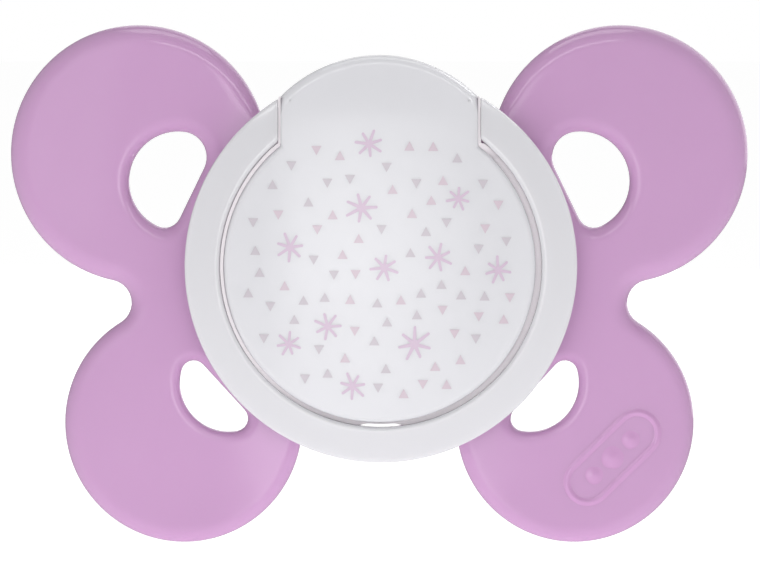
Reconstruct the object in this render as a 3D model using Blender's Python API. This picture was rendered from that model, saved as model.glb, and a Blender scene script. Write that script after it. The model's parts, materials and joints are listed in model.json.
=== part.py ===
"""A pacifier with a butterfly shield, a silicone teat and a folding ring.

Frame: +Z is up, the front faces -Y and the teat points along +Y. The origin is on the teat's
axis, in the plane of the shield's rear face, where the lips close. The ring hangs down at rest
and swings forward and up about a line along X.
Lengths in this file are millimetres, and MM turns them into Blender's metres.
"""

import math

import bmesh
import bpy
from mathutils import Vector, geometry

MM = 0.001

# Shield: four round lobes joined through a round centre plate. Centres are (x, z) on the +X side.
UPPER_LOBE = (18.95, 8.72)
UPPER_LOBE_R = 10.15
LOWER_LOBE = (15.43, -12.47)
LOWER_LOBE_R = 9.35
WAIST_R = 1.8
CENTRE_PLATE_R = 12.9
BROW = (0.0, 5.7)
BROW_R = 9.3
BROW_FILLET_R = 1.0
CHEEK_FILLET_R = 1.5
CHIN_NOTCH = (0.0, -14.5)
CHIN_NOTCH_R = 2.6
CHIN_CORNER_R = 1.2
SHIELD_THICKNESS = 2.4
SHIELD_EDGE_R = 0.85

# The lobes curve back towards the face outside a flat centre.
BOW_FLAT_R = 9.0
BOW_RADIUS = 33.0
BOW_Z_SHARE = 0.6

# Vent holes: a round hole cut off by a straight side that faces the knob.
# centre, radius, direction of the straight side's normal, its distance from the teat axis, corners
UPPER_VENT = ((15.8, 6.6), 3.9, 25.9, 15.74, (1.3, 2.0))
LOWER_VENT = ((11.85, -9.25), 3.85, -42.6, 15.5, (1.0, 1.0))

# Knob: the front cover and its base meet on the ring's hinge line. One sphere carries the front
# faces of the cover, its crown and the ring.
DISC_R = 12.25
CROWN_HALF_WIDTH = 7.75
CROWN = (0.0, 5.7)
CROWN_R = 10.85
CROWN_CORNER_R = 0.6
CROWN_FILLET_R = 0.35
COVER_FRONT_Y = -8.0
DOME_RADIUS = 62.0
COVER_EDGE_R = (0.45, 0.15)
COVER_RECESS_R = 10.2
COVER_RECESS_FRONT_Y = -6.3
BASE_INSET = 0.25
BASE_REAR_Y = -2.7
BASE_EDGE_R = (0.2, 0.2)
BOSS_R = 7.0
BOSS_FRONT_Y = -5.9
SPIGOT_R = (9.0, 9.9)
SPIGOT_FRONT_Y = -5.8

# Hinge
HINGE_Y = -4.85
HINGE_Z = 11.5
PARTING_GAP = 0.3
SOCKET_R = 1.0
SOCKET_DEPTH_X = 6.0
PIN_R = 0.92
PIN_END_X = 6.2

# Ring
RING_R = 15.4
RING_INNER_R = 12.62
RING_REAR_Y = -3.3
RING_EDGE_R = 0.35
RING_END_X = 7.95
RING_SIDE_PLAY = 0.12  # the ring hangs this much to the right on its pins
RING_END_R = 2.05
RING_END_RELIEF = 0.4  # the rear face steps forward by this much towards the ends,
RING_RELIEF_Z = (5.0, 9.0)  # between these heights, so that the ends turn clear of the disc

# Teat and its plug
NECK_HOLE_R = 6.3
FLANGE_R = 9.0
FLANGE_REAR_Y = -1.5
FLANGE_FRONT_Y = -2.4
FLANGE_SEAT_R = 9.3
FLANGE_SEAT_Y = -1.2
TEAT_TIP_Y = 27.0
TEAT_WALL = 1.6
PLUG_R = 3.6
PLUG_TIP_Y = 2.6
PLUG_HEAD_R = 5.0
PLUG_HEAD_Y = (-4.1, -2.7)
PLUG_POCKET_R = 5.3
PLUG_POCKET_Y = -4.4

# The teat's sections: (y, half width, half height, centre z). The bulb is flattened on one side,
# and its tip turns up towards the palate.
TEAT_SECTIONS = (
    (-0.9, 6.0, 6.0, 0.0),
    (2.0, 5.9, 5.8, 0.0),
    (5.5, 5.4, 5.0, 0.0),
    (9.0, 5.6, 4.5, 0.1),
    (12.5, 6.7, 4.6, 0.5),
    (16.0, 7.8, 5.0, 1.0),
    (19.5, 8.2, 5.1, 1.3),
    (22.5, 7.5, 4.5, 1.4),
    (25.0, 5.6, 3.3, 1.3),
    (26.5, 3.1, 1.8, 1.2),
)
TEAT_SQUARENESS = 2.3
TEAT_SIDES = 28

ARC_STEP = 1.5
HOLE_STEP = 1.1
ROUND_SIDES = 32
PIN_SIDES = 20
GRID_STEP = 3.6


def empty_scene():
    for old in list(bpy.data.objects):
        bpy.data.objects.remove(old, do_unlink=True)


def plastic(name, colour, roughness, transmission=0.0, subsurface=0.0):
    """A moulded plastic or silicone: colour, gloss and how much light passes through."""
    made = bpy.data.materials.new(name)
    made.use_nodes = True
    shader = made.node_tree.nodes["Principled BSDF"]
    shader.inputs["Base Color"].default_value = (*colour, 1.0)
    shader.inputs["Roughness"].default_value = roughness
    shader.inputs["Metallic"].default_value = 0.0
    shader.inputs["Transmission Weight"].default_value = transmission
    shader.inputs["Subsurface Weight"].default_value = subsurface
    shader.inputs["Subsurface Scale"].default_value = MM
    made.diffuse_color = (*colour, 1.0)
    return made


def add_object(name, bm, material=None):
    """Makes an object from a bmesh in millimetres, with its faces pointing out."""
    bmesh.ops.recalc_face_normals(bm, faces=bm.faces)
    bmesh.ops.scale(bm, vec=(MM, MM, MM), verts=bm.verts)
    mesh = bpy.data.meshes.new(name)
    bm.to_mesh(mesh)
    bm.free()
    mesh.shade_smooth()
    mesh.set_sharp_from_angle(angle=math.radians(38))
    made = bpy.data.objects.new(name, mesh)
    bpy.context.scene.collection.objects.link(made)
    if material:
        mesh.materials.append(material)
    return made


def combine(target, tool, operation):
    """Adds the tool to the target or cuts it away, and hides the tool."""
    modifier = target.modifiers.new(f"{operation.lower()}_{tool.name}", "BOOLEAN")
    modifier.operation = operation
    modifier.object = tool
    modifier.solver = "EXACT"
    tool.hide_render = True
    tool.display_type = "WIRE"


# Outlines: chains of circles in the XZ plane


def touching(a, distance_a, b, distance_b, side):
    """The point at these distances from a and b, on the left (1) or right (-1) of the way a to b."""
    a = Vector(a)
    along = Vector(b) - a
    gap = along.length
    along.normalize()
    reach = (distance_a**2 - distance_b**2 + gap**2) / (2 * gap)
    height = math.sqrt(distance_a**2 - reach**2)
    return a + along * reach + Vector((-along.y, along.x)) * height * side


def chain_outline(circles, step):
    """Points and outward normals round a closed outline, counterclockwise.

    circles holds (centre, radius), where a negative radius is a hollow arc. Neighbours either
    touch or are joined by the straight line that is tangent to both.
    """
    joins = []
    for (centre, radius), (following, next_radius) in zip(circles, circles[1:] + circles[:1]):
        along = Vector(following) - Vector(centre)
        cosine = max(-1.0, min(1.0, (radius - next_radius) / along.length))
        along.normalize()
        across = Vector((-along.y, along.x))
        joins.append(along * cosine - across * math.sqrt(1 - cosine**2))
    points = []
    for i, (centre, radius) in enumerate(circles):
        first = math.atan2(joins[i - 1].y, joins[i - 1].x)
        last = math.atan2(joins[i].y, joins[i].x)
        turn = (last - first) % math.tau if radius > 0 else -((first - last) % math.tau)
        count = max(2, math.ceil(abs(turn * radius) / step))
        for k in range(count + 1):
            angle = first + turn * k / count
            normal = Vector((math.cos(angle), math.sin(angle)))
            point = Vector(centre) + normal * radius
            if not points or (point - points[-1][0]).length > step * 0.05:
                points.append((point, normal))
    if (points[0][0] - points[-1][0]).length < step * 0.05:
        points.pop()
    return points


def mirrored(half):
    """A closed chain from its +X half, listed counterclockwise from the bottom to the top.

    Circles centred on x = 0 come first or last and are not repeated.
    """
    other = [((-c[0], c[1]), r) for c, r in reversed(half) if abs(c[0]) > 1e-6]
    return half + other


def shield_outline(step):
    upper_waist = UPPER_LOBE_R + WAIST_R
    lower_waist = LOWER_LOBE_R + WAIST_R
    waist = touching(UPPER_LOBE, upper_waist, LOWER_LOBE, lower_waist, 1)
    brow_fillet = touching(BROW, BROW_R + BROW_FILLET_R, UPPER_LOBE, UPPER_LOBE_R + BROW_FILLET_R, 1)
    plate_reach = CENTRE_PLATE_R + CHEEK_FILLET_R
    cheek_fillet = touching(LOWER_LOBE, LOWER_LOBE_R + CHEEK_FILLET_R, (0, 0), plate_reach, 1)
    chin_reach = CENTRE_PLATE_R - CHIN_CORNER_R
    chin_corner = touching((0, 0), chin_reach, CHIN_NOTCH, CHIN_NOTCH_R + CHIN_CORNER_R, 1)
    half = [
        (CHIN_NOTCH, -CHIN_NOTCH_R),
        (chin_corner, CHIN_CORNER_R),
        ((1e-5, 0), CENTRE_PLATE_R),
        (cheek_fillet, -CHEEK_FILLET_R),
        (LOWER_LOBE, LOWER_LOBE_R),
        (waist, -WAIST_R),
        (UPPER_LOBE, UPPER_LOBE_R),
        (brow_fillet, -BROW_FILLET_R),
        (BROW, BROW_R),
    ]
    return chain_outline(mirrored(half), step)


def vent_outline(vent, side, step):
    """A vent hole on the +X side (1) or its mirror image on the -X side (-1)."""
    centre, radius, normal_deg, distance, corners = vent
    centre = Vector(centre)
    normal = Vector((math.cos(math.radians(normal_deg)), math.sin(math.radians(normal_deg))))
    along = Vector((-normal.y, normal.x))
    circles = [(tuple(centre), radius)]
    for corner, way in ((corners[1], 1), (corners[0], -1)):
        depth = distance + corner - centre.dot(normal)
        offset = math.sqrt((radius - corner) ** 2 - depth**2)
        circles.append((tuple(centre + normal * depth + along * offset * way), corner))
    if side < 0:
        circles = [((-c[0], c[1]), r) for c, r in reversed(circles)]
    return chain_outline(circles, step)


def cover_outline(inset, step):
    """The disc with its crown, drawn smaller by the inset."""
    disc = DISC_R - inset
    half_width = CROWN_HALF_WIDTH - inset
    crown = CROWN_R - inset
    corner_x = half_width - CROWN_CORNER_R
    corner_z = CROWN[1] + math.sqrt((crown - CROWN_CORNER_R) ** 2 - corner_x**2)
    fillet_x = half_width + CROWN_FILLET_R
    fillet_z = math.sqrt((disc + CROWN_FILLET_R) ** 2 - fillet_x**2)
    half = [
        ((0, 0), disc),
        ((fillet_x, fillet_z), -CROWN_FILLET_R),
        ((corner_x, corner_z), CROWN_CORNER_R),
        (CROWN, crown),
    ]
    return chain_outline(mirrored(half), step)


# Solids


def offset_loop(loop, inset):
    return [point - normal * inset for point, normal in loop]


def is_inside(point, loops):
    """Whether a point is inside the outer loop and outside the holes, by counting crossings."""
    crossings = 0
    for loop in loops:
        for a, b in zip(loop, loop[1:] + loop[:1]):
            if (a.y > point.y) != (b.y > point.y):
                crossings += point.x < a.x + (point.y - a.y) * (b.x - a.x) / (b.y - a.y)
    return crossings % 2 == 1


def cap_triangles(loops, grid_step):
    """Triangles between closed loops of 2D points, with a grid of points in between."""
    points = [p for loop in loops for p in loop]
    edges = []
    start = 0
    for loop in loops:
        count = len(loop)
        edges += [(start + i, start + (i + 1) % count) for i in range(count)]
        start += count
    low_x, high_x = min(p.x for p in points), max(p.x for p in points)
    low_z, high_z = min(p.y for p in points), max(p.y for p in points)
    rim = list(points)
    for i in range(1, math.ceil((high_x - low_x) / grid_step)):
        for k in range(1, math.ceil((high_z - low_z) / grid_step)):
            seed = Vector((low_x + grid_step * (i + 0.5 * (k % 2)), low_z + grid_step * k))
            if min((seed - p).length for p in rim) > grid_step * 0.55 and is_inside(seed, loops):
                points.append(seed)
    made, _, faces, origins, _, _ = geometry.delaunay_2d_cdt(points, edges, [], 1, 1e-6)
    keep = []
    for face in faces:
        middle = sum((made[i] for i in face), Vector((0, 0))) / len(face)
        if is_inside(middle, loops):
            keep.append([origins[i][0] for i in face])
    used = sorted({i for face in keep for i in face})
    return points, used, keep


def rounded_slab(loops, front, back, edge_r, rows=2, grid_step=GRID_STEP):
    """A plate between two surfaces y = front(x, z) and y = back(x, z), with rounded edges.

    loops are (outline, side): side 1 for the outer edge and -1 for a hole. edge_r holds the
    rounding of the front edges and of the back ones.
    """
    bm = bmesh.new()
    arcs = [math.pi / 2 * k / rows for k in range(rows + 1)]
    surfaces = ((front, 1, edge_r[0], arcs), (back, -1, edge_r[1], arcs[::-1]))
    caps = {front: [], back: []}
    for outline, side in loops:
        rings = []
        for height, sign, radius, order in surfaces:
            for arc in order:
                flat = offset_loop(outline, radius * (1 - math.sin(arc)) * side)
                drop = sign * radius * (1 - math.cos(arc))
                ring = [bm.verts.new((p.x, height(p.x, p.y) + drop, p.y)) for p in flat]
                rings.append(ring)
                if arc == 0:
                    caps[height].append((flat, ring))
        for one, two in zip(rings, rings[1:]):
            for i in range(len(one)):
                k = (i + 1) % len(one)
                bm.faces.new((one[i], one[k], two[k], two[i]))
    for height, cap in caps.items():
        points, used, faces = cap_triangles([flat for flat, _ in cap], grid_step)
        corners = dict(enumerate(v for _, ring in cap for v in ring))
        for i in used:
            if i not in corners:
                corners[i] = bm.verts.new((points[i].x, height(*points[i]), points[i].y))
        for face in faces:
            bm.faces.new([corners[i] for i in face])
    return bm


def turned(profile, sides=ROUND_SIDES):
    """A solid of revolution about the Y axis from a closed profile of (radius, y)."""
    bm = bmesh.new()
    rings = []
    for k in range(sides):
        angle = math.tau * k / sides
        rings.append([(r * math.cos(angle), y, r * math.sin(angle)) for r, y in profile])
    rows = []
    for i, (r, y) in enumerate(profile):
        if r < 1e-6:
            rows.append([bm.verts.new((0, y, 0))] * sides)
        else:
            rows.append([bm.verts.new(rings[k][i]) for k in range(sides)])
    closed = profile[0][0] > 1e-6
    pairs = list(zip(rows, rows[1:])) + ([(rows[-1], rows[0])] if closed else [])
    for one, two in pairs:
        for i in range(sides):
            k = (i + 1) % sides
            corners = [one[i], one[k], two[k], two[i]]
            unique = list(dict.fromkeys(corners))
            bm.faces.new(unique)
    return bm


def rod_x(x_from, x_to, radius):
    """A round rod along X on the hinge line."""
    bm = bmesh.new()
    ends = []
    for x in (x_from, x_to):
        ring = []
        for k in range(PIN_SIDES):
            angle = math.tau * k / PIN_SIDES
            at = (x, HINGE_Y + radius * math.cos(angle), HINGE_Z + radius * math.sin(angle))
            ring.append(bm.verts.new(at))
        ends.append(ring)
        bm.faces.new(ring)
    for i in range(PIN_SIDES):
        k = (i + 1) % PIN_SIDES
        bm.faces.new((ends[0][i], ends[0][k], ends[1][k], ends[1][i]))
    return bm


def bow(x, z):
    """How far the shield curves back at a point: flat in the centre, then a gentle bowl."""
    out = max(0.0, math.hypot(x, z * BOW_Z_SHARE) - BOW_FLAT_R)
    return out**2 / (2 * BOW_RADIUS)


def dome(x, z):
    """The knob's front surface."""
    return COVER_FRONT_Y + DOME_RADIUS - math.sqrt(DOME_RADIUS**2 - x**2 - z**2)


def level(y):
    """A flat surface at one depth."""
    return lambda x, z: y


def make_shield(material):
    loops = [(shield_outline(ARC_STEP), 1)]
    for vent in (UPPER_VENT, LOWER_VENT):
        for side in (1, -1):
            loops.append((vent_outline(vent, side, HOLE_STEP), -1))
    edges = (SHIELD_EDGE_R, SHIELD_EDGE_R)
    bm = rounded_slab(loops, lambda x, z: bow(x, z) - SHIELD_THICKNESS, bow, edges)
    shield = add_object("shield", bm, material)
    past = 1.0
    cut = turned([
        (0, FLANGE_FRONT_Y - past),
        (FLANGE_SEAT_R, FLANGE_FRONT_Y - past),
        (FLANGE_SEAT_R, FLANGE_SEAT_Y),
        (NECK_HOLE_R, FLANGE_SEAT_Y),
        (NECK_HOLE_R, past),
        (0, past),
    ])
    combine(shield, add_object("neck_hole_cutter", cut), "DIFFERENCE")
    return shield


def socket_cutters():
    for side in (1, -1):
        outside = CROWN_HALF_WIDTH + 1.0
        bm = rod_x(side * SOCKET_DEPTH_X, side * outside, SOCKET_R)
        yield add_object(f"socket_cutter_{'right' if side > 0 else 'left'}", bm)


def make_cover(material, sockets):
    rear = HINGE_Y - PARTING_GAP / 2
    outline = cover_outline(0.0, ARC_STEP)
    bm = rounded_slab([(outline, 1)], dome, level(rear), COVER_EDGE_R, grid_step=3.0)
    cover = add_object("front_cover", bm, material)
    recess = turned([
        (0, COVER_RECESS_FRONT_Y),
        (COVER_RECESS_R, COVER_RECESS_FRONT_Y),
        (COVER_RECESS_R, rear + 1.0),
        (0, rear + 1.0),
    ])
    combine(cover, add_object("cover_recess_cutter", recess), "DIFFERENCE")
    for socket in sockets:
        combine(cover, socket, "DIFFERENCE")
    return cover


def make_base(material, sockets):
    front = HINGE_Y + PARTING_GAP / 2
    outline = cover_outline(BASE_INSET, ARC_STEP)
    bm = rounded_slab([(outline, 1)], level(front), level(BASE_REAR_Y), BASE_EDGE_R, rows=1, grid_step=6.0)
    base = add_object("knob_base", bm, material)
    inside = front + 0.4
    boss = turned([(0, BOSS_FRONT_Y), (BOSS_R, BOSS_FRONT_Y), (BOSS_R, inside), (0, inside)])
    combine(base, add_object("boss_tool", boss), "UNION")
    low, high = SPIGOT_R
    spigot = turned([(low, SPIGOT_FRONT_Y), (high, SPIGOT_FRONT_Y), (high, inside), (low, inside)])
    combine(base, add_object("spigot_tool", spigot), "UNION")
    mouth = BASE_REAR_Y + 1.0
    pocket = turned([(0, PLUG_POCKET_Y), (PLUG_POCKET_R, PLUG_POCKET_Y), (PLUG_POCKET_R, mouth), (0, mouth)])
    combine(base, add_object("plug_pocket_cutter", pocket), "DIFFERENCE")
    for socket in sockets:
        combine(base, socket, "DIFFERENCE")
    return base


def make_plug(material):
    head_front, head_rear = PLUG_HEAD_Y
    rounding = 0.8
    profile = [
        (0, head_front),
        (PLUG_HEAD_R, head_front),
        (PLUG_HEAD_R, head_rear),
        (PLUG_R, head_rear),
        (PLUG_R, PLUG_TIP_Y - rounding),
        (PLUG_R - rounding, PLUG_TIP_Y),
        (0, PLUG_TIP_Y),
    ]
    return add_object("teat_plug", turned(profile, 24), material)


def teat_ring(bm, y, half_width, half_height, centre_z):
    """One section of the teat: an oval slightly squarer than an ellipse."""
    ring = []
    for k in range(TEAT_SIDES):
        angle = math.tau * k / TEAT_SIDES
        power = 2 / (2 + (TEAT_SQUARENESS - 2) * min(1.0, max(0.0, (y - 5) / 8)))
        c, s = math.cos(angle), math.sin(angle)
        x = half_width * math.copysign(abs(c) ** power, c)
        z = centre_z + half_height * math.copysign(abs(s) ** power, s)
        ring.append(bm.verts.new((x, y, z)))
    return ring


def make_teat(material):
    """A closed skin: out from the flange over the bulb to the tip, and back along the inside."""
    bm = bmesh.new()
    neck_inside = TEAT_SECTIONS[0][1] - TEAT_WALL
    rings = [
        teat_ring(bm, FLANGE_FRONT_Y, neck_inside, neck_inside, 0),
        teat_ring(bm, FLANGE_FRONT_Y, FLANGE_R, FLANGE_R, 0),
        teat_ring(bm, FLANGE_REAR_Y, FLANGE_R, FLANGE_R, 0),
        teat_ring(bm, FLANGE_REAR_Y, TEAT_SECTIONS[0][1], TEAT_SECTIONS[0][2], 0),
    ]
    rings += [teat_ring(bm, *section) for section in TEAT_SECTIONS[1:]]
    inside = [
        teat_ring(bm, y, a - TEAT_WALL, b - TEAT_WALL, c)
        for y, a, b, c in TEAT_SECTIONS
        if y < TEAT_TIP_Y - 1.5 and b > TEAT_WALL * 1.6
    ]
    for one, two in list(zip(rings, rings[1:])) + list(zip(inside, inside[1:])) + [(rings[0], inside[0])]:
        for i in range(TEAT_SIDES):
            k = (i + 1) % TEAT_SIDES
            bm.faces.new((one[i], one[k], two[k], two[i]))
    tip_z = TEAT_SECTIONS[-1][3]
    for ring, y in ((rings[-1], TEAT_TIP_Y), (inside[-1], TEAT_TIP_Y - TEAT_WALL)):
        tip = bm.verts.new((0, y, tip_z))
        for i in range(TEAT_SIDES):
            bm.faces.new((ring[i], ring[(i + 1) % TEAT_SIDES], tip))
    return add_object("teat", bm, material)


def ring_section():
    """The ring's section as (radius, y), with small roundings and its front on the dome."""
    low, high = RING_INNER_R + RING_EDGE_R, RING_R - RING_EDGE_R
    rear = RING_REAR_Y - RING_EDGE_R
    corners = [
        ((low, dome(RING_INNER_R, 0) + RING_EDGE_R), RING_EDGE_R),
        ((high, dome(RING_R, 0) + RING_EDGE_R), RING_EDGE_R),
        ((high, rear), RING_EDGE_R),
        ((low, rear), RING_EDGE_R),
    ]
    return [tuple(point) for point, _ in chain_outline(corners, RING_EDGE_R)]


def make_ring(material):
    """The ring is cut off beside the crown, and its ends are rounded about the hinge line."""
    section = ring_section()
    count = 56
    bm = bmesh.new()
    rows = []
    for i in range(count + 1):
        row = []
        for r, y in section:
            right_end = math.acos((RING_END_X - RING_SIDE_PLAY) / r)
            left_end = math.acos((RING_END_X + RING_SIDE_PLAY) / r)
            angle = right_end - (math.pi + right_end + left_end) * i / count
            x, z = RING_SIDE_PLAY + r * math.cos(angle), r * math.sin(angle)
            above = max(0.0, z - HINGE_Z)
            limit = math.sqrt(RING_END_R**2 - above**2)
            low, high = RING_RELIEF_Z
            share = max(0.0, min(1.0, (z - low) / (high - low)))
            rear = RING_REAR_Y - RING_END_RELIEF * share**2 * (3 - 2 * share)
            y = max(-limit, min(limit, rear - HINGE_Y, y - HINGE_Y))
            row.append(bm.verts.new((x, y, z - HINGE_Z)))
        rows.append(row)
    for one, two in zip(rows, rows[1:]):
        for i in range(len(section)):
            k = (i + 1) % len(section)
            bm.faces.new((one[i], one[k], two[k], two[i]))
    bm.faces.new(rows[0])
    bm.faces.new(rows[-1])
    ring = add_object("ring", bm, material)
    hinge = bpy.data.objects.new("ring_hinge", None)
    hinge.location = (0, HINGE_Y * MM, HINGE_Z * MM)
    bpy.context.scene.collection.objects.link(hinge)
    ring.parent = hinge
    for side, name in ((1, "right"), (-1, "left")):
        pin = rod_x(side * PIN_END_X, side * (RING_END_X + 0.6), PIN_R)
        combine(ring, add_object(f"{name}_pin_tool", pin), "UNION")
    return ring


def main():
    empty_scene()
    lilac = plastic("lilac_plastic", (0.59, 0.35, 0.57), 0.25, subsurface=0.3)
    milky = plastic("milky_plastic", (0.82, 0.81, 0.84), 0.2, transmission=0.2, subsurface=0.4)
    white = plastic("white_plastic", (0.83, 0.82, 0.84), 0.35, subsurface=0.3)
    silicone = plastic("silicone", (0.86, 0.85, 0.80), 0.3, transmission=0.5, subsurface=0.4)
    sockets = list(socket_cutters())
    make_shield(lilac)
    make_cover(milky, sockets)
    make_base(white, sockets)
    make_plug(white)
    make_teat(silicone)
    make_ring(milky)


main()
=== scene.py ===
"""The looks of the pacifier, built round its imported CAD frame.

Every shown piece stands for the CAD node of the same shape, with a finer mesh and a procedural
material. Lengths in this file are millimetres unless a name says otherwise, and MM turns them
into the frame's metres. +Z is up and the front faces -Y.
"""

import json
import math
import random

import bmesh
import bpy
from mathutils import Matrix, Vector, geometry


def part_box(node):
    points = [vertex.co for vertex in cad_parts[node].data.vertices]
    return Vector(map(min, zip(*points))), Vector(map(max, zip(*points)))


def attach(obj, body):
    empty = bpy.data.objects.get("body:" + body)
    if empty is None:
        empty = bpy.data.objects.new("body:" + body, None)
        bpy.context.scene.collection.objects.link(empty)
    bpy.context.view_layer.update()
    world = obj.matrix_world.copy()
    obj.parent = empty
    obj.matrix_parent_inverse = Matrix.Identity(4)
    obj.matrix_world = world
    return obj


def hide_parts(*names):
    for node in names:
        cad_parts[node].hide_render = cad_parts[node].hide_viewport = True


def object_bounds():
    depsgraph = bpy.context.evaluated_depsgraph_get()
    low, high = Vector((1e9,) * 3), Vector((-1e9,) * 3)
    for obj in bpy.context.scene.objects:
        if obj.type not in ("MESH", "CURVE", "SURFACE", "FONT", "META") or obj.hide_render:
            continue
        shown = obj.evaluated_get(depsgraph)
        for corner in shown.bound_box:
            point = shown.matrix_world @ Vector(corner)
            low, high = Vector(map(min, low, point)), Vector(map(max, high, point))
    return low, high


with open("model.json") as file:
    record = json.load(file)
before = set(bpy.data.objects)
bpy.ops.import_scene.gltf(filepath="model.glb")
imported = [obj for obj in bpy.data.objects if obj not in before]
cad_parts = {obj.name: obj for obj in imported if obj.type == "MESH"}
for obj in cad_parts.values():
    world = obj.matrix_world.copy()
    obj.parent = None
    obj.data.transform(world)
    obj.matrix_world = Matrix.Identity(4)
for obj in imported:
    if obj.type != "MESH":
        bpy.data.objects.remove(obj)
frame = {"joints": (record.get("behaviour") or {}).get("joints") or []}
CAD_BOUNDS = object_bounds()
MM = 0.001


def box_mm(node):
    """A CAD node's lowest and highest corners in millimetres."""
    low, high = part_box(node)
    return low / MM, high / MM


# Places that come from the frame
COVER_LOW, COVER_HIGH = box_mm("front_cover")
BASE_REAR_Y = box_mm("knob_base")[1].y
RING_REAR_Y = box_mm("ring")[1].y
TEAT_LOW, TEAT_HIGH = box_mm("teat")
PLUG_LOW, PLUG_HIGH = box_mm("teat_plug")
HINGE = Vector(frame["joints"][0]["pos_m"]) / MM

# Shield: four round lobes and a centre plate, as (x, z) centres on the +X side. The plate's rear
# is flat at y = 0, and it bows back outside that.
UPPER_LOBE = (18.95, 8.72)
UPPER_LOBE_R = 10.15
LOWER_LOBE = (15.43, -12.47)
LOWER_LOBE_R = 9.35
WAIST_R = 1.8
CENTRE_PLATE_R = 12.9
BROW = (0.0, 5.7)
BROW_R = 9.3
BROW_FILLET_R = 1.0
CHEEK_FILLET_R = 1.5
CHIN_NOTCH = (0.0, -14.5)
CHIN_NOTCH_R = 2.6
CHIN_CORNER_R = 1.2
SHIELD_THICKNESS = 2.4
SHIELD_REAR_Y = 0.0
SHIELD_EDGE_R = 0.85
# front roundings of the lower and the upper lobes, the heights and the distances from the axis
# between which they come in, and those of the upper and the lower vents
LOBE_EDGE_R = (1.1, 1.5)
LOBE_EDGE_Z = (-8.0, 0.0)
LOBE_EDGE_REACH = (14.0, 17.5)
VENT_EDGE_R = (1.2, 0.85)
BOW_FLAT_R = 9.0
BOW_RADIUS = 33.0
BOW_Z_SHARE = 0.6
# centre, radius, direction of the straight side's normal, its distance from the axis, corners
UPPER_VENT = ((15.8, 6.6), 3.9, 25.9, 15.74, (1.3, 2.0))
LOWER_VENT = ((11.85, -9.25), 3.85, -42.6, 15.5, (1.0, 1.0))
NECK_HOLE_R = 6.3
NECK_EDGE_R = 0.4
FLANGE_SEAT_R = 9.3
FLANGE_SEAT_Y = -1.2

# Knob: a disc with a crown on it, under one domed front
DISC_R = 12.25
CROWN_HALF_WIDTH = 7.75
CROWN = (0.0, 5.7)
CROWN_R = 10.85
CROWN_CORNER_R = 0.6
CROWN_FILLET_R = 0.35
DOME_RADIUS = 62.0
DOME_TOP_Y = COVER_LOW.y
# front and rear roundings, and those at the crown, with the heights where the top's comes in
COVER_EDGE_R = (0.4, 0.15)
CROWN_SIDE_EDGE_R = 0.1
CROWN_TOP_EDGE_R = 0.65
CROWN_TOP_Z = (11.8, 13.2)
BASE_INSET = 0.25
BASE_FLOOR_DEPTH = 0.3
BASE_EDGE = 0.15

# Rim of the base round the cover: how proud of the cover it stands, how deep behind the dome it
# ends, where it gives way to the crown's sides, and its gap at the bottom
RIM_OVERLAP = 0.01
RIM_FOLD = 0.1
RIM_CHAMFER = 0.01
RIM_PROUD = 0.362
RIM_SHIFT_X = 0.12
RIM_SIDE_PROUD = 0.18
RIM_DEPTH = (0.08, 0.85)
RIM_DEPTH_REACH = (-11.0, 4.0)
RIM_CROWN_DEPTH = 0.04
RIM_CROWN_Z = (9.4, 9.75)
RIM_GAP_PROUD = 0.13
RIM_GAP_X = (1.15, 1.65)
RIM_END_FACING = (0.2, 0.8)
RIM_END_Z = (9.0, 12.0)

# Ring
RING_R = 15.4
RING_INNER_R = 12.62
RING_EDGE_R = 0.35
RING_END_EDGE_R = 0.1
RING_END_X = 7.95
RING_SIDE_PLAY = 0.12
RING_END_R = 2.05
RING_END_RELIEF = 0.4
RING_RELIEF_Z = (5.0, 9.0)
PIN_R = 0.92
PIN_INWARD = 1.75
PIN_OUTWARD = 0.6

# Plug
PLUG_STEM_R = 3.6
PLUG_TIP_R = 0.8

# Teat sections: (y, half width, half height, centre z)
TEAT_SECTIONS = (
    (-0.9, 6.0, 6.0, 0.0),
    (2.0, 5.9, 5.8, 0.0),
    (5.5, 5.4, 5.0, 0.0),
    (9.0, 5.6, 4.5, 0.1),
    (12.5, 6.7, 4.6, 0.5),
    (16.0, 7.8, 5.0, 1.0),
    (19.5, 8.2, 5.1, 1.3),
    (22.5, 7.5, 4.5, 1.4),
    (25.0, 5.6, 3.3, 1.3),
    (26.5, 3.1, 1.8, 1.2),
)
TEAT_SQUARENESS = 2.3
TEAT_ROUND_TO_Y = 5.0
TEAT_SQUARE_AFTER = 8.0
TEAT_WALL = 1.6
TEAT_LEAST_HOLLOW = TEAT_WALL * 1.6
FLANGE_REAR_Y = -1.5

# Print on the front cover: stars listed as (x, z, radius), with triangles strewn between
STARS = (
    (-0.8, 9.6, 1.2),
    (-1.4, 4.6, 1.35),
    (6.2, 5.3, 0.95),
    (-7.0, 1.5, 1.2),
    (0.4, -0.1, 1.2),
    (4.6, 0.7, 1.15),
    (9.3, -0.3, 1.1),
    (-4.05, -4.7, 1.1),
    (-7.1, -6.1, 1.0),
    (2.75, -6.1, 1.4),
    (-2.1, -9.4, 1.15),
)
PRINT_THICKNESS = 0.02
PRINT_SEED = 7
TRIANGLE_HALF_WIDTH = 0.4
TRIANGLE_HEIGHT = 0.72
GREY_SHARE = 0.6

# Raised frame with three dots on the lower +X lobe
FRAME_CENTRE = (18.35, -15.16)
FRAME_TILT_DEG = 44.0
FRAME_LENGTH = 9.3
FRAME_WIDTH = 3.9
# each dot's place along the frame and its radius
FRAME_DOTS = ((-2.0, 0.75), (0.0, 0.95), (2.0, 0.75))
RIDGE_HALF_WIDTH = 0.3
RIDGE_HEIGHT = 0.15
RIDGE_SINK = 0.006

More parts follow.
